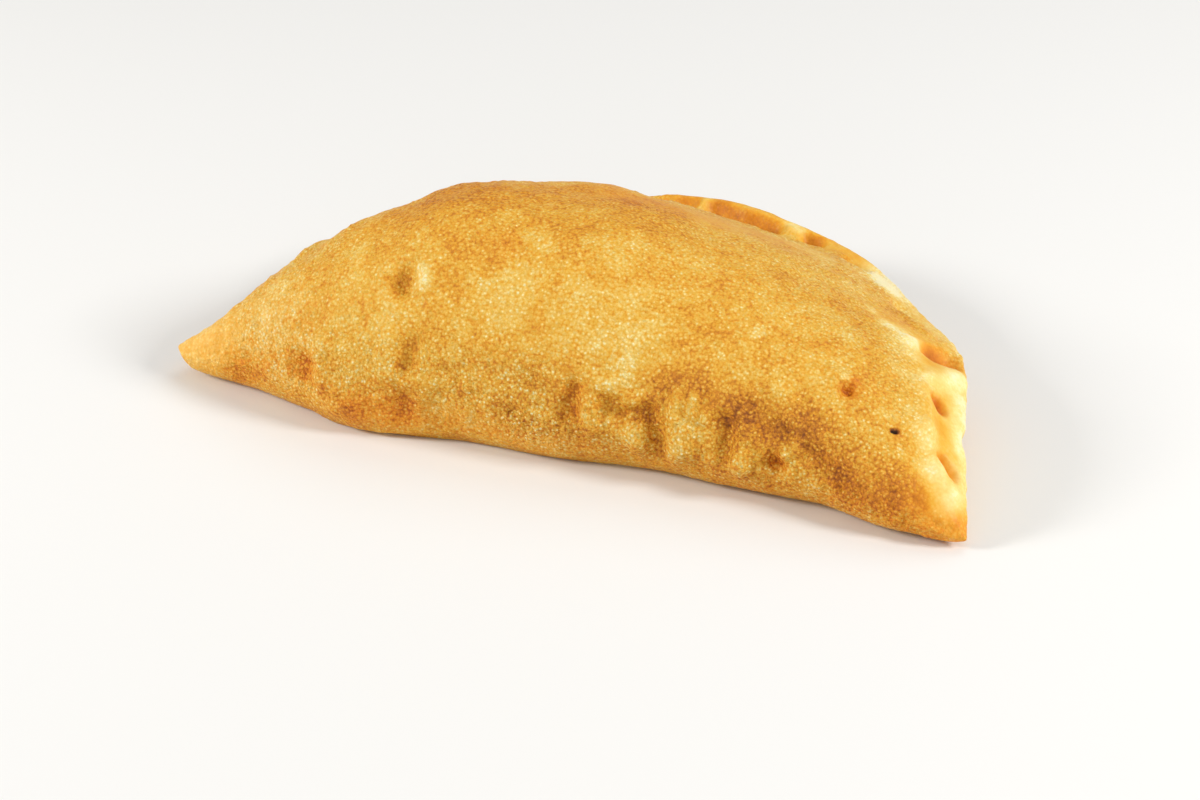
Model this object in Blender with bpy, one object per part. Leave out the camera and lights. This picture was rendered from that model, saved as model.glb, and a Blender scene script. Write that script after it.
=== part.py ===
"""Panzerotto: a round of dough folded over its filling, sealed and crimped round the open side, fried whole.

One closed solid, filled right through. The fold runs along X at the front (-Y), the sealed rim arches
round the back (+Y), and the underside rests flat on the ground. Lengths here are in millimetres, and
become metres where the mesh is made.
"""

import bpy
import numpy as np

METRES = 0.001

# Guide lines through the middle of the dough, from the left tip to the right tip: x, y, z
FOLD_LINE = (
    (-100, -44, 6.5), (-94.5, -47.2, 5.6), (-80, -49.5, 8), (-62, -53, 9.5), (-45, -55, 7.5), (-22, -51, 10.5), (0, -49.5, 10),
    (22, -46.5, 10.5), (45, -46, 9.5), (64, -45, 8.5), (80, -47, 6), (91, -46, 4), (100, -44, 2.5),
)
RIM_LINE = (
    (-100, -44, 6.5), (-94, -27, 5.5), (-87, -0.5, 12), (-65, 27, 19), (-34, 47, 20), (-8, 52.5, 21.5),
    (13, 52.5, 22), (45, 46, 17.2), (65, 29.5, 14.3), (81, 12, 14), (90.5, -16, 12), (100, -44, 2.5),
)
# The filled dome over the sheet between the two lines: share of the length, height
DOME_HEIGHT = (
    (0, 0), (0.08, 7.5), (0.2, 20), (0.28, 29), (0.36, 34), (0.44, 32.6), (0.52, 31.5), (0.6, 27),
    (0.7, 22), (0.8, 16), (0.9, 8), (1, 0),
)
DOME_FRONT, DOME_BACK = 0.55, 1.15
BELLY_PER_DOME = 0.71
BELLY_FRONT, BELLY_BACK = 0.6, 1.0

# How wide the flat flap beyond the dome is: share of the length, width
FLAP_WIDTH = ((0, 9), (0.25, 9), (0.5, 9), (0.57, 8.3), (0.62, 5), (0.67, 2.6), (0.76, 1.6), (1, 1.2))
HALF_DOUGH = 2.4
FOLD_ROUNDING = 7.0
TIP_TAPER = 8.0
FLOOR_BLEND = 3.0
MOST_OF_WIDTH = 0.35

# Finger dents (below zero) that seal the rim, and the ridges (above) between them. Each runs from one spot
# to another, and a spot is given as millimetres along the rim from the left tip, then millimetres in from
# the edge.
# along, in, along, in, radius, height
RIM_RELIEF = (
    (131, 2, 139, 1, 5.0, -1.6),
    (150, 7, 152.5, 7, 3.4, -1.8),
    (155.7, 5.5, 155.7, 9, 2.6, 0.9),
    (158.5, 8, 164.5, 8, 4.2, -3.0),
    (167, 5.5, 167, 9, 2.4, 0.7),
    (169.5, 8, 175.5, 8, 4.2, -2.8),
    (180.5, 6.5, 182.5, 8, 3.2, 1.1),
    (185.5, 6.5, 188.5, 6.5, 3.6, -2.3),
    (194, 6, 196, 7, 3.5, 0.6),
    (201, 8, 204, 8, 4.0, -1.5),
    (226, 10, 231, 9.5, 4.5, -1.1),
    (232, 13, 239, 11, 4.0, 0.7),
    (244, 22, 247, 17, 3.6, 0.8),
    (248.8, 15.5, 252, 7, 4.6, -2.8),
    (260.5, 16, 260, 5, 4.2, 0.9),
    (264, 20, 277, 17.5, 4.2, 1.0),
    (269.3, 14, 272.2, 11.6, 2.7, -2.0),
    (278, 18.5, 290, 14, 4.2, 1.0),
    (290, 14, 300, 7, 4.0, 1.0),
    (282.5, 0, 285, 0, 4.0, -0.9),
    (289.3, 10.9, 293.6, 7.2, 3.2, -2.5),
)
# The same seal goes on round the back to the left tip
HIDDEN_CRIMPS_FROM, HIDDEN_CRIMPS_TO, HIDDEN_CRIMP_STEP = 24, 150, 13
HIDDEN_CRIMP_LENGTH, HIDDEN_CRIMP_INSET, HIDDEN_CRIMP_RADIUS, HIDDEN_CRIMP_DEPTH = 3.0, 6.5, 4.0, 1.8

# Dents (below zero) and bumps (above) of the crust. Each runs from one spot to another, and a spot is
# given as millimetres along the fold from the left tip, then millimetres up over the crust.
# along, over, along, over, radius, height
CRUST_RELIEF = (
    (67, 32.5, 66.6, 31.2, 5.4, -2.8),
    (73, 34, 72.5, 31, 3.5, 0.8),
    (42.4, 6, 42.2, 4.5, 4.5, -1.2),
    (47.2, 12.6, 48, 4.3, 4.0, 0.6),
    (70.4, 16.5, 68.6, 10.8, 4.0, -1.1),
    (64.8, 18, 64.5, 9.7, 4.4, 1.1),
    (69.2, 3, 68.2, 0, 5.0, -0.8),
    (52.3, 0, 55.9, 0, 7.0, 1.0),
    (71.5, 0, 77, 0, 7.0, -0.9),
    (24, 0, 27, 1, 7.0, -0.8),
    (110.2, 10.9, 109.7, 5.3, 3.8, -1.7),
    (114, 8.7, 114.6, 2.7, 3.4, 1.4),
    (116.1, 12.5, 119.1, 12.8, 3.4, 1.2),
    (117.1, 7.1, 120.4, 7.5, 3.4, -1.1),
    (123.2, 9, 123.8, 10, 2.4, 0.7),
    (122.7, 5.4, 128.1, 7.5, 3.6, -1.6),
    (133.9, 11.9, 133.9, 8.6, 2.8, 1.4),
    (137.5, 13.6, 137.8, 9.5, 2.4, 1.3),
    (141.1, 9.4, 141.3, 9.4, 2.3, 0.8),
    (125.5, 2.4, 125.9, 0, 4.6, 1.8),
    (129.9, 4.5, 130.9, 0, 3.6, -1.8),
    (136.8, 5, 135.4, 0.5, 5.0, 1.9),
    (145.2, 9, 147, 3.4, 4.5, -2.0),
    (150.3, 2.4, 150.3, 0, 3.4, 1.8),
    (150, 13, 157, 10.5, 5.0, -1.3),
    (158.3, 2.9, 158.9, 2.1, 3.6, -1.9),
    (160.2, 4.5, 162.8, 8.5, 2.8, 1.1),
    (153.1, 19.8, 154.4, 19.7, 3.2, 0.8),
    (166.3, 11.2, 167, 10.8, 3.5, 0.8),
    (166, 24.2, 166.4, 24, 2.6, -1.3),
    (161.8, 27, 164, 27, 3.0, 0.7),
    (170, 5, 176, 3, 5.0, -0.8),
    (91, 85, 93.5, 85, 14.0, 1.9),
    (66, 67, 68, 70, 9.0, 0.8),
    (52, 50, 50, 48, 12.0, 1.0),
    (37, 40.6, 38.5, 43, 4.5, 1.1),
)

STATIONS = 112
ACROSS_TOP = 34
ACROSS_BOTTOM = 18
# How much closer the steps are by the fold and the rim than half-way across
CLOSER_AT_EDGES = 0.09
# Steps in the finely sampled guide lines and cross-sections, from which the mesh's places are taken
LINE_STEPS = 2000
FINE_STEPS = 400
# The height table's shares are stretched by this, so that the curve through it bends evenly
SHARE_STRETCH = 100
# Added to y, so that the bounding box is centred on the origin
TO_BOX_CENTRE = 1.4
TINY = 1e-6


def along_line(points, count):
    """A smooth line through the points, as `count` places evenly spaced along it."""
    points = np.array(points, float)
    knots = np.cumsum(np.sqrt(np.linalg.norm(np.diff(points, axis=0), axis=1)))
    knots = np.concatenate([[0], knots]) / knots[-1]
    slope = np.empty_like(points)
    slope[1:-1] = (points[2:] - points[:-2]) / (knots[2:] - knots[:-2])[:, None]
    ends = np.diff(points, axis=0) / np.diff(knots)[:, None]
    slope[0] = 2 * ends[0] - slope[1]
    slope[-1] = 2 * ends[-1] - slope[-2]
    where = np.linspace(0, 1, LINE_STEPS)
    i = np.clip(np.searchsorted(knots, where, side="right") - 1, 0, len(points) - 2)
    span = (knots[i + 1] - knots[i])[:, None]
    t = (where - knots[i])[:, None] / span
    line = (2 * t**3 - 3 * t**2 + 1) * points[i] + (t**3 - 2 * t**2 + t) * span * slope[i]
    line += (3 * t**2 - 2 * t**3) * points[i + 1] + (t**3 - t**2) * span * slope[i + 1]
    return resampled(line, np.linspace(0, 1, count))


def resampled(line, shares):
    """Places on a line of points, each given as a share of the line's length."""
    steps = np.linalg.norm(np.diff(line, axis=0), axis=1)
    run = np.concatenate([[0], np.cumsum(steps)])
    return np.stack([np.interp(shares * run[-1], run, line[:, k]) for k in range(3)], axis=1)


def quarter_round(t):
    """Rises from 0 to 1 as a quarter of an ellipse, and stays at 1."""
    return np.sqrt(1 - (1 - np.clip(t, 0, 1)) ** 2)


def tapered(t):
    """Rises from 0 to 1, levelling off, and stays at 1."""
    return 1 - (1 - np.clip(t, 0, 1)) ** 2


def bulge(q, front, back):
    """A rounded hump from 0 to 1 and back to 0 as q goes from 0 to 1."""
    q = np.clip(q, 0, 1)
    top = front / (front + back)
    return (q / top) ** front * ((1 - q) / (1 - top)) ** back


def on_floor(z):
    """Flattens what would sink below the ground, with a soft turn into the flat."""
    blended = (z + FLOOR_BLEND) ** 2 / (4 * FLOOR_BLEND)
    return np.where(z < -FLOOR_BLEND, 0, np.where(z > FLOOR_BLEND, z, blended))


def smooth_heights(table, shares):
    """The heights on a smooth curve through the table's points, at the given shares of the length."""
    table = np.array(table, float)
    line = np.column_stack([table, np.zeros(len(table))])
    curve = along_line(line * (SHARE_STRETCH, 1, 1), LINE_STEPS)
    return np.interp(shares, curve[:, 0] / SHARE_STRETCH, curve[:, 1])


def plain_crust(stations):
    """The upper and lower sheets before any relief, each stations x steps x 3, from the fold to the rim."""
    shares = np.linspace(0, 1, stations)
    fold = along_line(FOLD_LINE, stations)[:, None]
    rim = along_line(RIM_LINE, stations)[:, None]
    dome = smooth_heights(DOME_HEIGHT, shares)[:, None]
    width = np.linalg.norm(rim - fold, axis=2)
    across = (1 - np.cos(np.linspace(0, np.pi, FINE_STEPS))) / 2
    flap = np.minimum(smooth_heights(FLAP_WIDTH, shares)[:, None], MOST_OF_WIDTH * width)
    q = across * width / np.maximum(width - flap, TINY)
    from_fold = across * width / np.maximum(np.minimum(FOLD_ROUNDING, MOST_OF_WIDTH * width), TINY)
    from_rim = (1 - across) * width / np.maximum(np.minimum(HALF_DOUGH, MOST_OF_WIDTH * width), TINY)
    length = np.linalg.norm(np.diff(fold[:, 0], axis=0), axis=1).sum()
    from_tip = np.minimum(shares, 1 - shares)[:, None] * length / TIP_TAPER
    half = HALF_DOUGH * quarter_round(from_fold) * quarter_round(from_rim) * tapered(from_tip)
    middle = fold + (rim - fold) * across[:, None]
    upper, lower = middle.copy(), middle.copy()
    upper[..., 2] += half + dome * bulge(q, DOME_FRONT, DOME_BACK)
    belly = BELLY_PER_DOME * dome * bulge(q, BELLY_FRONT, BELLY_BACK)
    lower[..., 2] = on_floor(lower[..., 2] - half - belly)
    return upper, lower


def spaced(sheet, count):
    """Each row of a sheet as `count` places, closer together near the fold and the rim."""
    t = np.linspace(0, 1, count)
    shares = t - CLOSER_AT_EDGES * np.sin(2 * np.pi * t)
    return np.array([resampled(row, shares) for row in sheet])


def length_of(line):
    """The length of a line of points."""
    return np.linalg.norm(np.diff(line, axis=0), axis=1).sum()


def spot(upper, share, over):
    """The place on the upper sheet at a share of the length, `over` millimetres up from the fold."""
    row = upper[int(round(share * (len(upper) - 1)))]
    return resampled(row, np.array([np.clip(over / length_of(row), 0, 1)]))[0]


def moved_by(points, start, end, radius, height):
    """How far a dent or bump that runs from start to end moves each point."""
    axis = end - start
    t = np.clip((points - start) @ axis / max(axis @ axis, TINY), 0, 1)
    distance = np.linalg.norm(points - start - t[..., None] * axis, axis=-1)
    return height * np.clip(1 - (distance / radius) ** 2, 0, None) ** 2


def hidden_crimps():
    """Crimps at an even spacing, in the same form as RIM_RELIEF."""
    crimps = []
    for start in range(HIDDEN_CRIMPS_FROM, HIDDEN_CRIMPS_TO, HIDDEN_CRIMP_STEP):
        ends = (start, HIDDEN_CRIMP_INSET, start + HIDDEN_CRIMP_LENGTH, HIDDEN_CRIMP_INSET)
        crimps.append(ends + (HIDDEN_CRIMP_RADIUS, -HIDDEN_CRIMP_DEPTH))
    return crimps


def relief(points):
    """How far each point moves out along its normal, for the dents and bumps of the rim and the crust."""
    upper, _ = plain_crust(FINE_STEPS)
    fold_length, rim_length = length_of(upper[:, 0]), length_of(upper[:, -1])
    total = np.zeros(points.shape[:-1])
    for along, over, along_2, over_2, radius, height in CRUST_RELIEF:
        start = spot(upper, along / fold_length, over)
        end = spot(upper, along_2 / fold_length, over_2)
        total += moved_by(points, start, end, radius, height)
    for along, inset, along_2, inset_2, radius, height in hidden_crimps() + list(RIM_RELIEF):
        ends = []
        for share, from_edge in ((along / rim_length, inset), (along_2 / rim_length, inset_2)):
            girth = length_of(upper[int(round(share * (FINE_STEPS - 1)))])
            ends.append(spot(upper, share, girth - from_edge))
        total += moved_by(points, ends[0], ends[1], radius, height)
    return total


def loops():
    """The closed cross-sections from tip to tip: up over the crust, then back along the underside."""
    upper, lower = plain_crust(STATIONS)
    top = spaced(upper, ACROSS_TOP)
    bottom = spaced(lower, ACROSS_BOTTOM)[:, ::-1]
    rings = np.concatenate([top, bottom[:, 1:-1]], axis=1)
    along = np.gradient(rings, axis=0)
    round_it = np.roll(rings, -1, axis=1) - np.roll(rings, 1, axis=1)
    normal = np.cross(along, round_it)
    normal /= np.maximum(np.linalg.norm(normal, axis=2, keepdims=True), TINY)
    above_floor = np.clip(rings[..., 2] / FLOOR_BLEND, 0, 1)
    rings = rings + normal * (relief(rings) * above_floor)[..., None]
    rings[..., 2] = np.maximum(rings[..., 2], 0)
    rings[..., 1] += TO_BOX_CENTRE
    return rings


def crust_mesh():
    """The closed mesh in metres: quads between the loops, and a fan at each tip."""
    rings = loops()
    count = rings.shape[1]
    inner = rings[1:-1]
    points = [rings[0, 0]] + list(inner.reshape(-1, 3)) + [rings[-1, 0]]
    last = len(points) - 1
    faces = []
    for j in range(count):
        after = (j + 1) % count
        faces.append((0, 1 + j, 1 + after))
        faces.append((last, last - count + after, last - count + j))
    for i in range(len(inner) - 1):
        for j in range(count):
            here, after = 1 + i * count + j, 1 + i * count + (j + 1) % count
            faces.append((here, here + count, after + count, after))
    mesh = bpy.data.meshes.new("panzerotto")
    mesh.from_pydata([tuple(point * METRES) for point in points], [], faces)
    mesh.validate()
    mesh.polygons.foreach_set("use_smooth", [True] * len(mesh.polygons))
    return mesh


def crust_material():
    material = bpy.data.materials.new("fried_crust")
    material.use_nodes = True
    shader = material.node_tree.nodes["Principled BSDF"]
    shader.inputs["Base Color"].default_value = (0.76, 0.43, 0.09, 1.0)
    shader.inputs["Roughness"].default_value = 0.6
    shader.inputs["Metallic"].default_value = 0.0
    return material


def build():
    for existing in list(bpy.data.objects):
        bpy.data.objects.remove(existing)
    panzerotto = bpy.data.objects.new("panzerotto", crust_mesh())
    panzerotto.data.materials.append(crust_material())
    bpy.context.scene.collection.objects.link(panzerotto)


build()
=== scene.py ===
"""Panzerotto as it looks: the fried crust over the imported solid, with the light, the floor and the camera.

The crust follows the same guide lines and the same named dents, bumps and crimps as the solid, on a finer
mesh, and adds what is too small for the solid: soft waves, blisters and tiny pits. Lengths in the tables
are in millimetres, and become metres where the mesh is made.
"""

import bpy
import numpy as np
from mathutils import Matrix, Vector, kdtree, noise


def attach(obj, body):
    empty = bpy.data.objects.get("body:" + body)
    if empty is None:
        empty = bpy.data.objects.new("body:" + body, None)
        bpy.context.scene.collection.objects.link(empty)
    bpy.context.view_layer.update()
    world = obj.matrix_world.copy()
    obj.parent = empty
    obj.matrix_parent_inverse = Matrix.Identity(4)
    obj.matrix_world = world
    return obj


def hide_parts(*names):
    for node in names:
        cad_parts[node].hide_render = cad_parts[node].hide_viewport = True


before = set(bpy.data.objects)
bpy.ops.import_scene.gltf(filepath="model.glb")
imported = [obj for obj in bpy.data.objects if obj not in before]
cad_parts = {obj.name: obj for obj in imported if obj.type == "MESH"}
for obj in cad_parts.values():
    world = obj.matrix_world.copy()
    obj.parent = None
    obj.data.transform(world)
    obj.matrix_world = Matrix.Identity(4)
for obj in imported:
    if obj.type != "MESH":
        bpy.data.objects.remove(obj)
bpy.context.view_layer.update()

METRES = 0.001

# Guide lines through the middle of the dough, from the left tip to the right tip: x, y, z
FOLD_LINE = (
    (-100, -44, 6.5), (-94.5, -47.2, 5.6), (-80, -49.5, 8), (-62, -53, 9.5), (-45, -55, 7.5),
    (-22, -51, 10.5), (0, -49.5, 10), (22, -46.5, 10.5), (45, -46, 9.5), (64, -45, 8.5),
    (80, -47, 6), (91, -46, 4), (100, -44, 2.5),
)
RIM_LINE = (
    (-100, -44, 6.5), (-94, -27, 5.5), (-87, -0.5, 12), (-65, 27, 19), (-34, 47, 20), (-8, 52.5, 21.5),
    (13, 52.5, 22), (45, 46, 17.2), (65, 29.5, 14.3), (81, 12, 14), (90.5, -16, 12), (100, -44, 2.5),
)
# The filled dome over the sheet between the two lines: share of the length, height
DOME_HEIGHT = (
    (0, 0), (0.08, 7.5), (0.2, 20), (0.28, 29), (0.36, 34), (0.44, 32.6), (0.52, 31.5), (0.6, 27),
    (0.7, 22), (0.8, 16), (0.9, 8), (1, 0),
)
DOME_FRONT, DOME_BACK = 0.55, 1.15
BELLY_PER_DOME = 0.71
BELLY_FRONT, BELLY_BACK = 0.6, 1.0

# How wide the flat flap beyond the dome is: share of the length, width
FLAP_WIDTH = ((0, 9), (0.25, 9), (0.5, 9), (0.57, 8.3), (0.62, 5), (0.67, 2.6), (0.76, 1.6), (1, 1.2))
HALF_DOUGH = 2.4
FOLD_ROUNDING = 7.0
TIP_TAPER = 8.0
FLOOR_BLEND = 3.0
MOST_OF_WIDTH = 0.35

# Finger dents (below zero) that seal the rim, and the ridges (above) between them. Each runs from one spot
# to another, and a spot is given as millimetres along the rim from the left tip, then millimetres in from
# the edge.
# along, in, along, in, radius, height
RIM_RELIEF = (
    (131, 2, 139, 1, 5.0, -1.6),
    (150, 7, 152.5, 7, 3.4, -1.8),
    (155.7, 5.5, 155.7, 9, 2.6, 0.9),
    (158.5, 8, 164.5, 8, 4.2, -3.0),
    (167, 5.5, 167, 9, 2.4, 0.7),
    (169.5, 8, 175.5, 8, 4.2, -2.8),
    (180.5, 6.5, 182.5, 8, 3.2, 1.1),
    (185.5, 6.5, 188.5, 6.5, 3.6, -2.3),
    (194, 6, 196, 7, 3.5, 0.6),
    (201, 8, 204, 8, 4.0, -1.5),
    (226, 10, 231, 9.5, 4.5, -1.1),
    (232, 13, 239, 11, 4.0, 0.7),
    (244, 22, 247, 17, 3.6, 0.8),
    (248.8, 15.5, 252, 7, 4.6, -2.8),
    (260.5, 16, 260, 5, 4.2, 0.9),
    (264, 20, 277, 17.5, 4.2, 1.0),
    (269.3, 14, 272.2, 11.6, 2.7, -2.0),
    (278, 18.5, 290, 14, 4.2, 1.0),
    (290, 14, 300, 7, 4.0, 1.0),
    (282.5, 0, 285, 0, 4.0, -0.9),
    (289.3, 10.9, 293.6, 7.2, 3.2, -2.5),
)
# The same seal goes on round the back to the left tip
HIDDEN_CRIMPS_FROM, HIDDEN_CRIMPS_TO, HIDDEN_CRIMP_STEP = 24, 150, 13
HIDDEN_CRIMP_LENGTH, HIDDEN_CRIMP_INSET, HIDDEN_CRIMP_RADIUS, HIDDEN_CRIMP_DEPTH = 3.0, 6.5, 4.0, 1.8

# Dents (below zero) and bumps (above) of the crust. Each runs from one spot to another, and a spot is
# given as millimetres along the fold from the left tip, then millimetres up over the crust.
# along, over, along, over, radius, height
CRUST_RELIEF = (
    (67, 32.5, 66.6, 31.2, 5.4, -2.8),
    (73, 34, 72.5, 31, 3.5, 0.8),
    (42.4, 6, 42.2, 4.5, 4.5, -1.2),
    (47.2, 12.6, 48, 4.3, 4.0, 0.6),
    (70.4, 16.5, 68.6, 10.8, 4.0, -1.1),
    (64.8, 18, 64.5, 9.7, 4.4, 1.1),
    (69.2, 3, 68.2, 0, 5.0, -0.8),
    (52.3, 0, 55.9, 0, 7.0, 1.0),
    (71.5, 0, 77, 0, 7.0, -0.9),
    (24, 0, 27, 1, 7.0, -0.8),
    (110.2, 10.9, 109.7, 5.3, 3.8, -1.7),
    (114, 8.7, 114.6, 2.7, 3.4, 1.4),
    (116.1, 12.5, 119.1, 12.8, 3.4, 1.2),
    (117.1, 7.1, 120.4, 7.5, 3.4, -1.1),
    (123.2, 9, 123.8, 10, 2.4, 0.7),
    (122.7, 5.4, 128.1, 7.5, 3.6, -1.6),
    (133.9, 11.9, 133.9, 8.6, 2.8, 1.4),
    (137.5, 13.6, 137.8, 9.5, 2.4, 1.3),
    (141.1, 9.4, 141.3, 9.4, 2.3, 0.8),
    (125.5, 2.4, 125.9, 0, 4.6, 1.8),
    (129.9, 4.5, 130.9, 0, 3.6, -1.8),
    (136.8, 5, 135.4, 0.5, 5.0, 1.9),
    (145.2, 9, 147, 3.4, 4.5, -2.0),
    (150.3, 2.4, 150.3, 0, 3.4, 1.8),
    (150, 13, 157, 10.5, 5.0, -1.3),
    (158.3, 2.9, 158.9, 2.1, 3.6, -1.9),
    (160.2, 4.5, 162.8, 8.5, 2.8, 1.1),
    (153.1, 19.8, 154.4, 19.7, 3.2, 0.8),
    (166.3, 11.2, 167, 10.8, 3.5, 0.8),
    (166, 24.2, 166.4, 24, 2.6, -1.3),
    (161.8, 27, 164, 27, 3.0, 0.7),
    (170, 5, 176, 3, 5.0, -0.8),
    (91, 85, 93.5, 85, 14.0, 1.9),
    (66, 67, 68, 70, 9.0, 0.8),
    (52, 50, 50, 48, 12.0, 1.0),
    (37, 40.6, 38.5, 43, 4.5, 1.1),
)
# Smaller relief of the same form, only in the visible crust
FINE_RELIEF = (
    (178.9, 19.9, 179.4, 20.3, 0.9, -1.1),
    (165.8, 24.6, 166.4, 24.2, 1.8, -0.5),
    (157.5, 2.2, 157.7, 3.2, 1.8, -0.5),
    (143.0, 33.0, 143.4, 31.5, 1.6, 0.35),
    (145.4, 32.2, 145.6, 30.8, 1.5, -0.45),
)

# The browning of the crust, above zero where it is darker and below where it is paler than the rest. Some
# rows are painted light: painted shade in a dimple, a hole and the flap's pockets, and painted highlights on
# bumps, ridges and edges, each marked below. The first table's spots are given like the crust's relief and
# the second table's like the crimps.
BROWNING_AND_PAINTED_LIGHT = (
    (62, 54, 104, 74, 20.0, 0.30),
    (87, 41, 87.5, 41, 7.0, 0.25),
    (74, 41, 75, 41, 9.0, 0.20),
    (96, 49, 109, 58, 9.0, 0.22),
    (20, 0, 28, 1, 6.0, 0.35),
    (43, 6.5, 42.8, 4, 3.4, 0.75),
    (40, 5, 41, 4.8, 4.0, 0.20),
    (48.8, 2.2, 49.2, 1.2, 2.6, 0.60),
    (70.4, 16, 68.8, 10.8, 2.8, 0.50),
    (69.2, 3.5, 68.2, 0, 6.5, 0.50),
    (55.8, 0.3, 56.4, 0, 3.0, 0.30),
    (30, -1, 200, -1, 5.0, -0.25),
    (110.4, 10.5, 110.2, 9.5, 2.8, 0.50),
    (110, 8, 109.7, 4, 5.0, 0.38),
    (118.8, 7.2, 118.9, 7.3, 4.0, 0.30),
    (127, 15, 128.5, 8, 6.5, 0.40),
    (128, 9.4, 127.4, 7, 3.0, 0.50),
    (122.7, 5.4, 128, 6, 3.4, 0.35),
    (134, 16, 150, 12, 8.0, 0.48),
    (130.2, 3, 130.9, 0, 3.6, 0.35),
    (145.2, 9, 147, 3.4, 5.0, 0.55),
    (150, 12, 162, 8, 10.0, 0.50),
    (158.5, 2.6, 158.8, 2.4, 2.8, 0.75),
    (157.4, 9.5, 158.9, 8.6, 4.0, 0.25),
    (162, 14, 173, 6, 8.0, 0.65),
    (178, 3, 189, 6, 9.0, 0.72),
    (171.5, 4.3, 172.7, 4.3, 3.0, 0.25),
    (184, 6.8, 185.7, 6.6, 3.5, 0.20),
    (165.8, 24.2, 166.3, 24, 1.7, 0.80),
    # Painted shade in the tiny hole
    (178.9, 19.9, 179.4, 20.3, 1.1, 3.20),
    # Paler dough at the left end, with painted light on this lit side
    (12, 6, 31, 16, 15.0, -0.55),
    (40, 14, 54, 23, 13.0, -0.22),
    # Painted highlights on two lit ridges, in this row and the next
    (64.8, 19, 64.6, 10, 3.6, -0.35),
    (47.2, 12.6, 48, 4.3, 3.2, -0.20),
    # Painted highlight on the lit wall of the big dimple, then painted shade in the dimple
    (70.5, 33.2, 71, 31.4, 4.2, -1.00),
    (65.6, 32.4, 65.2, 30.4, 4.6, 0.30),
    (108, 25.5, 123, 21.5, 12.0, -0.38),
    (94.6, 45, 95, 44, 5.0, -0.25),
    (112, 43, 112, 49, 7.0, -0.25),
    (86, 26, 92, 29, 12.0, -0.20),
    # Painted highlights on the lit tops of the front bumps, in this row and the next twelve
    (114, 8.7, 114.4, 4, 3.0, -0.30),
    (116.1, 12.5, 118.6, 12.8, 3.0, -0.50),
    (121.7, 13.1, 122.2, 13, 1.5, -0.40),
    (141.1, 9.5, 141.3, 9.4, 1.8, -0.70),
    (133.9, 11.6, 133.9, 9, 2.6, -0.40),
    (137.5, 13.5, 137.7, 10.5, 1.8, -0.70),
    (125.5, 2.4, 125.8, 0.6, 4.0, -0.30),
    (136.6, 4.5, 135.6, 1, 4.6, -0.30),
    (150.3, 2.2, 150.3, 0.4, 2.8, -0.40),
    (160.4, 5, 162.4, 8, 1.6, -0.50),
    (153.3, 19.8, 154.2, 19.7, 2.4, -0.35),
    (163.5, 27, 164, 27, 1.6, -0.80),
    (143.3, 33, 143.4, 32, 2.0, -0.45),
    (155.9, 42.8, 158, 41, 3.5, -0.35),
    (150.8, 65.2, 151.5, 64.5, 1.6, -0.70),
    (104, 74, 124, 82, 12.0, 0.16),
)
RIM_BROWNING_AND_PAINTED_LIGHT = (
    # Painted highlights at the right end, in this row and the next three
    (206, 7, 215, 7, 9.0, -1.00),
    (228.5, 27.5, 229.5, 27.5, 2.4, -0.60),
    (239, 25, 245, 20.5, 6.5, -1.20),
    (246, 26, 250, 24, 6.0, -0.50),
    # Paler ridges round the right dents: paler dough, with painted highlights on them, in this row and the
    # next three
    (262, 17, 260, 6, 6.0, -0.65),
    (262, 24, 278, 20, 6.5, -0.35),
    (279, 18.5, 290, 15.5, 5.5, -0.70),
    (291, 14.5, 302, 8, 5.5, -0.70),
    (283, 3, 287, 4, 4.0, -0.40),
    (248.8, 14.5, 252, 7, 4.8, 0.80),
    (236, 8, 243, 8, 5.0, 0.20),
    (269.3, 13.8, 272.2, 11.6, 2.6, 1.10),
    (289.5, 10.8, 293.6, 7.2, 3.0, 1.10),
    (271, 4, 279, 4.5, 5.0, -0.30),
    # Painted shade in the pockets of the flap's crimps, and painted light on the ridges and the top edge
    # between them, in this row and the next seven
    (149.5, 5, 152, 5, 3.2, 0.70),
    (155.4, 4, 155.4, 9, 2.0, -0.50),
    (159, 5.5, 164, 6, 4.2, 0.85),
    (169, 7, 175.5, 7, 4.2, 0.85),
    (179.5, 3.5, 182, 5, 3.4, -0.80),
    (186, 5, 188.5, 5, 3.0, 0.90),
    (148, -1, 196, -1, 2.6, -0.40),
    (201, 9, 204, 8, 4.0, 0.35),
    (212, 3, 246, 3, 9.0, -0.60),
    (262, 4, 300, 3, 8.0, -0.80),
)
# The underside, under the sealed edge too, is a little darker than the dome
UNDERSIDE_DARKER = 0.18

# Where the crust turns orange, from 0 to 1, in the same form
ORANGE = (
    (8, 4, 34, 10, 22.0, 0.50),
    (14, 1, 62, 1, 12.0, 0.25),
    (43, 6, 41, 4, 5.0, 0.80),
    (49, 2, 53, 0, 6.0, 0.20),
    (69, 4, 68, 0, 7.0, 0.35),
    (60, -2, 203, -2, 8.0, 0.80),
    (60, 60, 95, 78, 22.0, 0.30),
    (87, 41, 88, 41, 6.0, 0.35),
    (110.2, 10, 109.8, 5, 5.0, 0.40),
    (158.4, 2.6, 158.8, 2.4, 4.0, 0.90),
    (166, 26.5, 166.4, 24, 3.6, 1.00),
    (172, 5, 196, 4, 9.0, 0.35),
    (199, 2, 203, 0, 7.0, 0.55),
    (102, 76, 126, 86, 14.0, 0.32),
)
RIM_ORANGE = (
    (203, 2, 245, 3, 6.0, 0.10),
    (248, 15, 252, 6, 5.5, 0.70),
    (269.3, 13.8, 272.2, 11.6, 3.6, 1.10),
    (289.5, 10.8, 293.6, 7.2, 3.4, 1.10),
)

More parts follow.
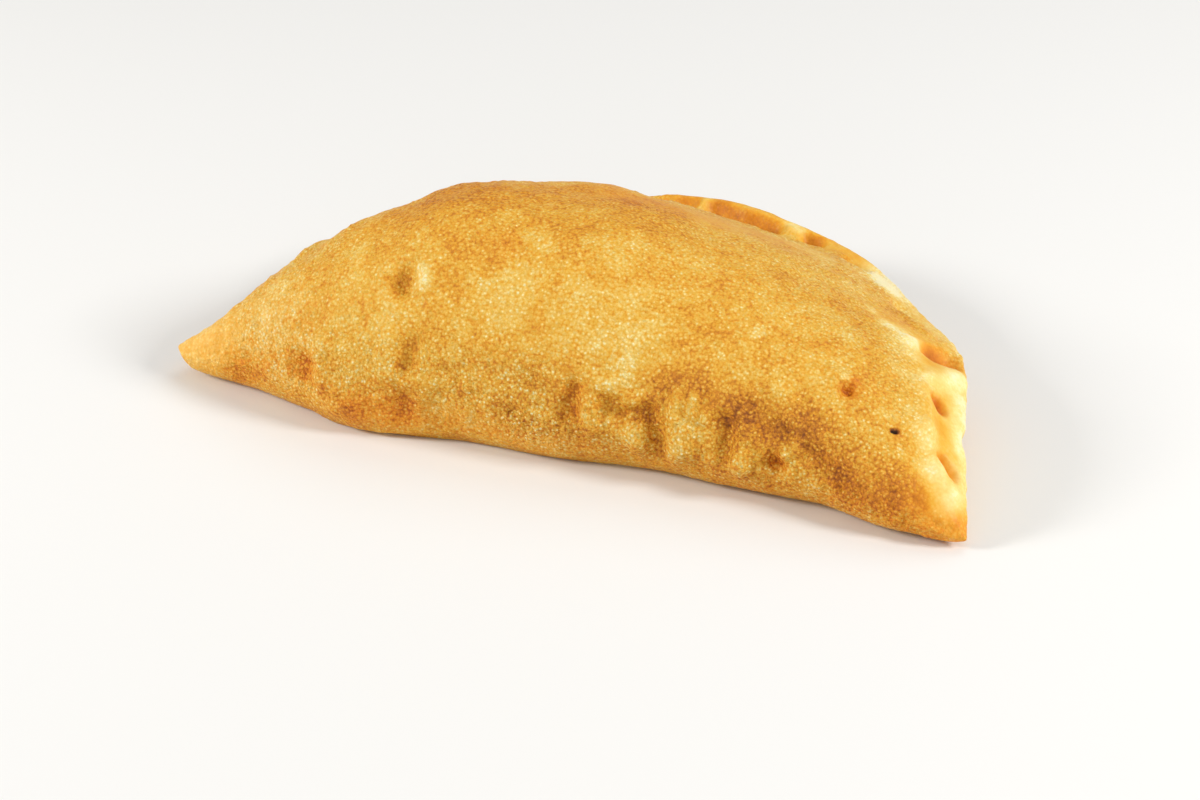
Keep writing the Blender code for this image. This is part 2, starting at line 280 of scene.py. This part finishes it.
# How strong the fine grain is, added to 1: stronger in the puckers, and weaker where the dough stays smooth
GRAIN = (
    (105, 6, 172, 8, 18.0, 0.30),
    (96, 0, 196, 0, 6.0, 0.50),
    (34, 4, 96, 7, 16.0, 0.40),
    (4, 3, 12, 8, 14.0, -0.50),
    (98, 80, 114, 77, 12.0, -0.42),
    (116, 82, 128, 92, 11.0, -0.42),
)
RIM_GRAIN = (
    (148, 3, 200, 3, 8.0, -0.80),
    (206, 4, 244, 3, 8.0, -0.45),
    (236, 22, 256, 8, 12.0, -0.50),
    (256, 12, 300, 8, 14.0, -0.95),
)
LEAST_GRAIN = 0.15

# The mesh: cross-sections from tip to tip, the places over and under each, and how much closer together the
# places lie near the fold and the rim
STATIONS = 430
ACROSS_TOP = 200
ACROSS_BOTTOM = 24
CLOSER_AT_EDGES = 0.09
# Steps that the guide lines and the plain sheets are worked out in
LINE_STEPS = 2000
FINE_STEPS = 400
# A table's shares are stretched by this, so that the curve through its heights bends evenly
SHARE_STRETCH = 100
# How far back the crust moves, so that the middle of its box is at the origin
TO_BOX_CENTRE = 1.4
# Keeps a length that may be zero from dividing by zero
TINY = 1e-6

# Soft waves of the dough: wavelength, height
WAVES = ((17.0, 0.34), (8.0, 0.26), (3.6, 0.22))
# Small blisters, some of them pitted inwards
BLISTERS = 14000
BLISTER_RADIUS = (0.7, 1.9)
BLISTER_HEIGHT = (0.04, 0.17)
PITTED_SHARE = 0.25
SEED = 5
# The relief fades out over this share of the length at each tip
CALM_TIP_SHARE = 0.03

# The camera stands where the photograph was taken from, by the fitted outline
CAMERA_AZIMUTH, CAMERA_ELEVATION, CAMERA_DISTANCE = 23.8, 30.0, 656.7
CAMERA_TARGET = (-5.2, -2.6, -7.7)
LENS, SENSOR = 80.0, 36.0

# The studio: square lamps with azimuth, elevation, distance, side, watts and colour, round one target
LAMPS = (
    ("key", -58, 27, 1000, 250, 5.5, (1.0, 0.98, 0.95)),
    ("right", 92, 34, 1100, 280, 7.6, (1.0, 0.99, 0.97)),
    ("fill", 8, 8, 1100, 500, 1.1, (1.0, 0.98, 0.95)),
    ("back", 178, 55, 1100, 600, 2.0, (1.0, 1.0, 1.0)),
)
LAMP_TARGET = (0, 0, 20)
WORLD_COLOUR, WORLD_STRENGTH = (1.0, 0.99, 0.97), 0.38
FLOOR_HALF = 3000
FLOOR_COLOUR, FLOOR_ROUGHNESS = (0.86, 0.86, 0.85), 0.9
SQUARE = ((-1, -1), (1, -1), (1, 1), (-1, 1))


def along_line(points, count):
    """A smooth line through the points, as `count` places evenly spaced along it."""
    points = np.array(points, float)
    knots = np.cumsum(np.sqrt(np.linalg.norm(np.diff(points, axis=0), axis=1)))
    knots = np.concatenate([[0], knots]) / knots[-1]
    slope = np.empty_like(points)
    slope[1:-1] = (points[2:] - points[:-2]) / (knots[2:] - knots[:-2])[:, None]
    ends = np.diff(points, axis=0) / np.diff(knots)[:, None]
    slope[0] = 2 * ends[0] - slope[1]
    slope[-1] = 2 * ends[-1] - slope[-2]
    where = np.linspace(0, 1, LINE_STEPS)
    i = np.clip(np.searchsorted(knots, where, side="right") - 1, 0, len(points) - 2)
    span = (knots[i + 1] - knots[i])[:, None]
    t = (where - knots[i])[:, None] / span
    line = (2 * t**3 - 3 * t**2 + 1) * points[i] + (t**3 - 2 * t**2 + t) * span * slope[i]
    line += (3 * t**2 - 2 * t**3) * points[i + 1] + (t**3 - t**2) * span * slope[i + 1]
    return resampled(line, np.linspace(0, 1, count))


def resampled(line, shares):
    """Places on a line of points, each given as a share of the line's length."""
    steps = np.linalg.norm(np.diff(line, axis=0), axis=1)
    run = np.concatenate([[0], np.cumsum(steps)])
    return np.stack([np.interp(shares * run[-1], run, line[:, k]) for k in range(3)], axis=1)


def quarter_round(t):
    """Rises from 0 to 1 as a quarter of an ellipse, and stays at 1."""
    return np.sqrt(1 - (1 - np.clip(t, 0, 1)) ** 2)


def tapered(t):
    """Rises from 0 to 1, levelling off, and stays at 1."""
    return 1 - (1 - np.clip(t, 0, 1)) ** 2


def bulge(q, front, back):
    """A rounded hump from 0 to 1 and back to 0 as q goes from 0 to 1."""
    q = np.clip(q, 0, 1)
    top = front / (front + back)
    return (q / top) ** front * ((1 - q) / (1 - top)) ** back


def on_floor(z):
    """Flattens what would sink below the ground, with a soft turn into the flat."""
    blended = (z + FLOOR_BLEND) ** 2 / (4 * FLOOR_BLEND)
    return np.where(z < -FLOOR_BLEND, 0, np.where(z > FLOOR_BLEND, z, blended))


def smooth_heights(table, shares):
    """The heights on a smooth curve through the table's points, at the given shares of the length."""
    table = np.array(table, float)
    line = np.column_stack([table, np.zeros(len(table))])
    curve = along_line(line * (SHARE_STRETCH, 1, 1), LINE_STEPS)
    return np.interp(shares, curve[:, 0] / SHARE_STRETCH, curve[:, 1])


def plain_crust(stations):
    """The upper and lower sheets before any relief, each stations x steps x 3, from the fold to the rim."""
    shares = np.linspace(0, 1, stations)
    fold = along_line(FOLD_LINE, stations)[:, None]
    rim = along_line(RIM_LINE, stations)[:, None]
    dome = smooth_heights(DOME_HEIGHT, shares)[:, None]
    width = np.linalg.norm(rim - fold, axis=2)
    across = (1 - np.cos(np.linspace(0, np.pi, FINE_STEPS))) / 2
    flap = np.minimum(smooth_heights(FLAP_WIDTH, shares)[:, None], MOST_OF_WIDTH * width)
    q = across * width / np.maximum(width - flap, TINY)
    from_fold = across * width / np.maximum(np.minimum(FOLD_ROUNDING, MOST_OF_WIDTH * width), TINY)
    from_rim = (1 - across) * width / np.maximum(np.minimum(HALF_DOUGH, MOST_OF_WIDTH * width), TINY)
    length = np.linalg.norm(np.diff(fold[:, 0], axis=0), axis=1).sum()
    from_tip = np.minimum(shares, 1 - shares)[:, None] * length / TIP_TAPER
    half = HALF_DOUGH * quarter_round(from_fold) * quarter_round(from_rim) * tapered(from_tip)
    middle = fold + (rim - fold) * across[:, None]
    upper, lower = middle.copy(), middle.copy()
    upper[..., 2] += half + dome * bulge(q, DOME_FRONT, DOME_BACK)
    belly = BELLY_PER_DOME * dome * bulge(q, BELLY_FRONT, BELLY_BACK)
    lower[..., 2] = on_floor(lower[..., 2] - half - belly)
    return upper, lower


def spaced(sheet, count):
    """Each row of a sheet as `count` places, closer together near the fold and the rim."""
    t = np.linspace(0, 1, count)
    shares = t - CLOSER_AT_EDGES * np.sin(2 * np.pi * t)
    return np.array([resampled(row, shares) for row in sheet])


def length_of(line):
    """The length of a line of points."""
    return np.linalg.norm(np.diff(line, axis=0), axis=1).sum()


def spot(upper, share, over):
    """The place on the upper sheet at a share of the length, `over` millimetres up from the fold."""
    row = upper[int(round(np.clip(share, 0, 1) * (len(upper) - 1)))]
    return resampled(row, np.array([np.clip(over / length_of(row), 0, 1)]))[0]


def moved_by(points, start, end, radius, height):
    """How far a dent or bump that runs from start to end moves each point."""
    axis = end - start
    t = np.clip((points - start) @ axis / max(axis @ axis, TINY), 0, 1)
    distance = np.linalg.norm(points - start - t[..., None] * axis, axis=-1)
    return height * np.clip(1 - (distance / radius) ** 2, 0, None) ** 2


def hidden_crimps():
    """Crimps at an even spacing, in the same form as RIM_RELIEF."""
    crimps = []
    for start in range(HIDDEN_CRIMPS_FROM, HIDDEN_CRIMPS_TO, HIDDEN_CRIMP_STEP):
        ends = (start, HIDDEN_CRIMP_INSET, start + HIDDEN_CRIMP_LENGTH, HIDDEN_CRIMP_INSET)
        crimps.append(ends + (HIDDEN_CRIMP_RADIUS, -HIDDEN_CRIMP_DEPTH))
    return crimps


def summed(points, crust_table, rim_table):
    """The sum at each point of a table placed on the crust and one placed along the rim."""
    upper, _ = plain_crust(FINE_STEPS)
    fold_length, rim_length = length_of(upper[:, 0]), length_of(upper[:, -1])
    total = np.zeros(points.shape[:-1])
    for along, over, along_2, over_2, radius, height in crust_table:
        start = spot(upper, along / fold_length, over)
        end = spot(upper, along_2 / fold_length, over_2)
        total += moved_by(points, start, end, radius, height)
    for along, inset, along_2, inset_2, radius, height in rim_table:
        ends = []
        for share, from_edge in ((along / rim_length, inset), (along_2 / rim_length, inset_2)):
            girth = length_of(upper[int(round(share * (FINE_STEPS - 1)))])
            ends.append(spot(upper, share, girth - from_edge))
        total += moved_by(points, ends[0], ends[1], radius, height)
    return total


def waves(points):
    """The dough's soft waves at each point, from noise of a few wavelengths."""
    flat = points.reshape(-1, 3)
    total = np.zeros(len(flat))
    for wavelength, height in WAVES:
        total += [height * noise.noise(Vector(place / wavelength)) for place in flat]
    return total.reshape(points.shape[:-1])


def blisters(points):
    """Small raised blisters and a few pits, scattered over the crust from a fixed seed."""
    flat = points.reshape(-1, 3)
    rng = np.random.default_rng(SEED)
    tree = kdtree.KDTree(len(flat))
    for i, place in enumerate(flat):
        tree.insert(place, i)
    tree.balance()
    total = np.zeros(len(flat))
    centres = flat[rng.integers(0, len(flat), BLISTERS)]
    radii = rng.uniform(*BLISTER_RADIUS, BLISTERS)
    heights = rng.uniform(*BLISTER_HEIGHT, BLISTERS)
    heights *= np.where(rng.random(BLISTERS) < PITTED_SHARE, -1, 1)
    for centre, radius, height in zip(centres, radii, heights):
        for _, i, distance in tree.find_range(centre, radius):
            total[i] += height * (1 - (distance / radius) ** 2) ** 2
    return total.reshape(points.shape[:-1])


def crust_surface():
    """The closed cross-sections of the visible crust, and its browning with painted shade and highlights,
    orange and grain at each place.
    """
    upper, lower = plain_crust(STATIONS)
    top = spaced(upper, ACROSS_TOP)
    bottom = spaced(lower, ACROSS_BOTTOM)[:, ::-1]
    rings = np.concatenate([top, bottom[:, 1:-1]], axis=1)
    along = np.gradient(rings, axis=0)
    round_it = np.roll(rings, -1, axis=1) - np.roll(rings, 1, axis=1)
    normal = np.cross(along, round_it)
    normal /= np.maximum(np.linalg.norm(normal, axis=2, keepdims=True), TINY)
    above_floor = np.clip(rings[..., 2] / FLOOR_BLEND, 0, 1)
    from_ends = np.minimum(np.arange(STATIONS), np.arange(STATIONS)[::-1]) / (STATIONS - 1)
    calm_tips = np.clip(from_ends / CALM_TIP_SHARE, 0, 1)[:, None]
    grain = np.maximum(1 + summed(rings, GRAIN, RIM_GRAIN), LEAST_GRAIN)
    height = summed(rings, CRUST_RELIEF + FINE_RELIEF, hidden_crimps() + list(RIM_RELIEF))
    height += (waves(rings) + blisters(rings)) * grain
    browning_and_painted_light = summed(rings, BROWNING_AND_PAINTED_LIGHT, RIM_BROWNING_AND_PAINTED_LIGHT)
    browning_and_painted_light[:, ACROSS_TOP:] += UNDERSIDE_DARKER
    orange = np.clip(summed(rings, ORANGE, RIM_ORANGE), 0, 1)
    rings = rings + normal * (height * above_floor * calm_tips)[..., None]
    rings[..., 2] = np.maximum(rings[..., 2], 0)
    rings[..., 1] += TO_BOX_CENTRE
    return rings, {"browning_and_painted_light": browning_and_painted_light, "orange": orange, "grain": grain}


def crust_object():
    """The crust as one closed mesh in metres, with its browning (painted shade and highlights included),
    orange and grain as attributes.
    """
    rings, looks = crust_surface()
    count = rings.shape[1]
    inner = rings[1:-1]
    points = np.concatenate([rings[:1, 0], inner.reshape(-1, 3), rings[-1:, 0]])
    last = len(points) - 1
    faces = []
    for j in range(count):
        after = (j + 1) % count
        faces.append((0, 1 + j, 1 + after))
        faces.append((last, last - count + after, last - count + j))
    for i in range(len(inner) - 1):
        for j in range(count):
            here, after = 1 + i * count + j, 1 + i * count + (j + 1) % count
            faces.append((here, here + count, after + count, after))
    mesh = bpy.data.meshes.new("fried_panzerotto")
    mesh.from_pydata((points * METRES).tolist(), [], faces)
    mesh.validate()
    mesh.polygons.foreach_set("use_smooth", [True] * len(mesh.polygons))
    for name, look in looks.items():
        values = np.concatenate([look[:1, 0], look[1:-1].ravel(), look[-1:, 0]])
        mesh.attributes.new(name, "FLOAT", "POINT").data.foreach_set("value", values)
    crust = bpy.data.objects.new("fried_panzerotto", mesh)
    bpy.context.scene.collection.objects.link(crust)
    return crust


class Nodes:
    """A material's node tree, with short calls that add linked nodes."""

    def __init__(self, material):
        self.tree = material.node_tree

    def add(self, kind, **settings):
        """A new node with the given settings."""
        node = self.tree.nodes.new(kind)
        for name, value in settings.items():
            setattr(node, name, value)
        return node

    def put(self, socket, value):
        """Links another node's output to a socket, or sets a plain value on it."""
        if isinstance(value, bpy.types.NodeSocket):
            self.tree.links.new(value, socket)
        else:
            socket.default_value = value

    def attribute(self, name):
        """One of the mesh's named values."""
        return self.add("ShaderNodeAttribute", attribute_name=name).outputs["Fac"]

    def math(self, operation, first, second):
        """The result of an operation on two values."""
        node = self.add("ShaderNodeMath", operation=operation)
        self.put(node.inputs[0], first)
        self.put(node.inputs[1], second)
        return node.outputs[0]

    def noise(self, coordinates, wavelength, detail, roughness):
        """Noise from 0 to 1 whose main lumps are about a wavelength apart, given in millimetres."""
        node = self.add("ShaderNodeTexNoise")
        self.put(node.inputs["Vector"], coordinates)
        self.put(node.inputs["Scale"], 1 / (wavelength * METRES))
        self.put(node.inputs["Detail"], detail)
        self.put(node.inputs["Roughness"], roughness)
        return node.outputs["Fac"]

    def cells(self, coordinates, spacing):
        """The distance to the nearest of scattered points, in spacings, and a random number for each."""
        node = self.add("ShaderNodeTexVoronoi")
        self.put(node.inputs["Vector"], coordinates)
        self.put(node.inputs["Scale"], 1 / (spacing * METRES))
        return node.outputs["Distance"], self.ranged(node.outputs["Color"], 0, 1, 0, 1)

    def ranged(self, value, low, high, to_low, to_high):
        """A value moved from one range to another, and held at its ends."""
        node = self.add("ShaderNodeMapRange")
        for socket, v in zip(node.inputs, (value, low, high, to_low, to_high)):
            self.put(socket, v)
        return node.outputs[0]


# How dark the crust's colour is, from pale dough to burnt, and its colour there. Painted highlights and
# glints move it towards the pale end, and painted shade towards the dark end.
CRUST_COLOURS = (
    # The palest colour is the one that the painted highlights and glints reach
    (-0.10, (0.98, 0.87, 0.52)),
    (0.06, (0.95, 0.75, 0.28)),
    (0.22, (0.89, 0.605, 0.15)),
    (0.42, (0.84, 0.475, 0.056)),
    (0.58, (0.80, 0.37, 0.024)),
    (0.74, (0.68, 0.255, 0.014)),
    (0.92, (0.50, 0.165, 0.010)),
    (1.12, (0.30, 0.085, 0.009)),
    (1.60, (0.05, 0.018, 0.007)),
)
# What fully orange crust's colour is multiplied by
ORANGE_TINT = (1.0, 0.78, 0.50)

# How done plain crust is, and how much darker a value of 1 in the browning tables makes it, for browning
# and painted shade alike
PLAIN_DONE, DARKNESS_PER_TABLE_UNIT = 0.46, 0.42

# Noise that the crust's colour varies by: millimetres between its lumps, detail, roughness
CLOUDS, CLOUDS_STRENGTH = (19, 3, 0.5), 0.50
MOTTLING, MOTTLING_STRENGTH = (5.5, 4, 0.6), 0.66
SPECKLE, SPECKLE_STRENGTH = (0.8, 3, 0.65), 1.35
NOISE_MIDDLE = 0.5
# How strong the speckle's dark flecks are beside the light ones
DARK_FLECKS = 0.5

# The fine grains of the crust. Some have a painted glint, a light spot at the middle, and the gaps between
# grains are dark.
# Each grain bulges as a dome, which makes the bump together with the speckle. Reaches are shares of the
# spacing, and the bump's depth is in millimetres.
GRAIN_SPACING = 0.8
PAINTED_GLINT_CHANCES, PAINTED_GLINT_STRENGTH = (0.4, 0.9), 0.40
PAINTED_GLINT_REACH = (0.15, 0.5)
GAP_REACH, GAP_STRENGTH = (0.5, 0.85), 0.22
DOME_REACH, DOME_SHARE = 0.65, 0.6
BUMP_DEPTH = 0.48

# The oily sheen: roughness from light speckle to dark, and how strongly the crust reflects
SPECKLE_RANGE = (-0.2, 0.2)
ROUGHNESS = (0.36, 0.58)
SPECULAR_LEVEL = 0.28

# How light spreads under the crust: its share, its reach for red, green and blue, and their scale
SUBSURFACE_WEIGHT = 0.12
SUBSURFACE_RADIUS = (1.0, 0.45, 0.15)
SUBSURFACE_SCALE = 2.5


def crust_material():
    """Fried dough: browning with painted shade and highlights, orange and grain from the mesh, with clouds,
    mottling, speckle and painted glints over them.
    """
    material = bpy.data.materials.new("fried_crust_look")
    material.use_nodes = True
    nodes = Nodes(material)
    shader = material.node_tree.nodes["Principled BSDF"]
    place = nodes.add("ShaderNodeTexCoord").outputs["Object"]
    browning_and_painted_light = nodes.attribute("browning_and_painted_light")
    graininess = nodes.attribute("grain")
    clouds = nodes.math("SUBTRACT", nodes.noise(place, *CLOUDS), NOISE_MIDDLE)
    mottling = nodes.math("SUBTRACT", nodes.noise(place, *MOTTLING), NOISE_MIDDLE)
    speckle = nodes.math("SUBTRACT", nodes.noise(place, *SPECKLE), NOISE_MIDDLE)
    speckle = nodes.math("MULTIPLY", speckle, graininess)
    flecks = nodes.math("MINIMUM", speckle, nodes.math("MULTIPLY", speckle, DARK_FLECKS))
    grain, chance = nodes.cells(place, GRAIN_SPACING)
    # Painted glints: light spots at the middles of some grains stand in for the oil's glints
    glint_strength = nodes.ranged(chance, *PAINTED_GLINT_CHANCES, 0, PAINTED_GLINT_STRENGTH)
    painted_glints_and_gaps = nodes.math("MULTIPLY", glint_strength, nodes.ranged(grain, *PAINTED_GLINT_REACH, 1, 0))
    gaps = nodes.ranged(grain, *GAP_REACH, 0, GAP_STRENGTH)
    painted_glints_and_gaps = nodes.math("MULTIPLY", nodes.math("SUBTRACT", painted_glints_and_gaps, gaps), graininess)
    crust_darkness = nodes.math("MULTIPLY_ADD", browning_and_painted_light, DARKNESS_PER_TABLE_UNIT)
    crust_darkness.node.inputs[2].default_value = PLAIN_DONE
    layers = ((clouds, CLOUDS_STRENGTH), (mottling, MOTTLING_STRENGTH), (flecks, SPECKLE_STRENGTH))
    for texture, strength in layers:
        crust_darkness = nodes.math("ADD", crust_darkness, nodes.math("MULTIPLY", texture, strength))
    crust_darkness = nodes.math("SUBTRACT", crust_darkness, painted_glints_and_gaps)
    ramp = nodes.add("ShaderNodeValToRGB")
    palest, darkest = CRUST_COLOURS[0], CRUST_COLOURS[-1]
    nodes.put(ramp.inputs[0], nodes.ranged(crust_darkness, palest[0], darkest[0], 0, 1))
    stops = ramp.color_ramp.elements
    stops[0].color, stops[1].color = palest[1] + (1,), darkest[1] + (1,)
    for level, colour in CRUST_COLOURS[1:-1]:
        stops.new((level - palest[0]) / (darkest[0] - palest[0])).color = colour + (1,)
    tint = nodes.add("ShaderNodeMix", data_type="RGBA", blend_type="MULTIPLY")
    nodes.put(tint.inputs["Factor"], nodes.attribute("orange"))
    nodes.put(tint.inputs["A"], ramp.outputs["Color"])
    tint.inputs["B"].default_value = ORANGE_TINT + (1,)
    nodes.put(shader.inputs["Base Color"], tint.outputs["Result"])
    nodes.put(shader.inputs["Roughness"], nodes.ranged(speckle, *SPECKLE_RANGE, *ROUGHNESS))
    shader.inputs["Specular IOR Level"].default_value = SPECULAR_LEVEL
    shader.inputs["Subsurface Weight"].default_value = SUBSURFACE_WEIGHT
    shader.inputs["Subsurface Radius"].default_value = SUBSURFACE_RADIUS
    shader.inputs["Subsurface Scale"].default_value = SUBSURFACE_SCALE * METRES
    domes = nodes.math("MULTIPLY", nodes.ranged(grain, 0, DOME_REACH, 1, 0), graininess)
    height = nodes.math("ADD", nodes.math("MULTIPLY", domes, DOME_SHARE), speckle)
    bump = nodes.add("ShaderNodeBump")
    nodes.put(bump.inputs["Height"], height)
    bump.inputs["Strength"].default_value = 1.0
    bump.inputs["Distance"].default_value = BUMP_DEPTH * METRES
    nodes.put(shader.inputs["Normal"], bump.outputs["Normal"])
    return material


def aim(thing, azimuth, elevation, distance, target):
    """Puts a lamp or the camera round a target, in millimetres, and turns it to look there."""
    a, e = np.radians([azimuth, elevation])
    back = Vector((np.sin(a) * np.cos(e), -np.cos(a) * np.cos(e), np.sin(e)))
    thing.location = (Vector(target) + back * distance) * METRES
    thing.rotation_euler = back.to_track_quat("Z", "Y").to_euler()


def make_camera():
    """The camera at the photograph's viewing angle."""
    data = bpy.data.cameras.new("camera")
    data.lens, data.sensor_width = LENS, SENSOR
    camera = bpy.data.objects.new("camera", data)
    bpy.context.scene.collection.objects.link(camera)
    aim(camera, CAMERA_AZIMUTH, CAMERA_ELEVATION, CAMERA_DISTANCE, CAMERA_TARGET)
    bpy.context.scene.camera = camera


def make_lamp(name, azimuth, elevation, distance, side, watts, colour):
    """A square lamp turned to the target."""
    data = bpy.data.lights.new(name, "AREA")
    data.size, data.energy, data.color = side * METRES, watts, colour
    lamp = bpy.data.objects.new(name, data)
    bpy.context.scene.collection.objects.link(lamp)
    aim(lamp, azimuth, elevation, distance, LAMP_TARGET)


def make_world():
    """The even light of the studio."""
    world = bpy.data.worlds.new("studio")
    bpy.context.scene.world = world
    world.use_nodes = True
    background = world.node_tree.nodes["Background"]
    background.inputs["Color"].default_value = WORLD_COLOUR + (1,)
    background.inputs["Strength"].default_value = WORLD_STRENGTH


def make_floor():
    """The plain pale floor, which isn't part of the object."""
    corners = [(x * FLOOR_HALF * METRES, y * FLOOR_HALF * METRES, 0) for x, y in SQUARE]
    mesh = bpy.data.meshes.new("floor")
    mesh.from_pydata(corners, [], [(0, 1, 2, 3)])
    floor = bpy.data.objects.new("floor", mesh)
    bpy.context.scene.collection.objects.link(floor)
    material = bpy.data.materials.new("pale_floor")
    material.use_nodes = True
    shader = material.node_tree.nodes["Principled BSDF"]
    shader.inputs["Base Color"].default_value = FLOOR_COLOUR + (1,)
    shader.inputs["Roughness"].default_value = FLOOR_ROUGHNESS
    mesh.materials.append(material)


crust = crust_object()
crust.data.materials.append(crust_material())
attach(crust, "root")
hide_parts("panzerotto")

make_camera()
make_world()
make_floor()
for lamp in LAMPS:
    make_lamp(*lamp)
bpy.context.scene.view_settings.view_transform = "Standard"
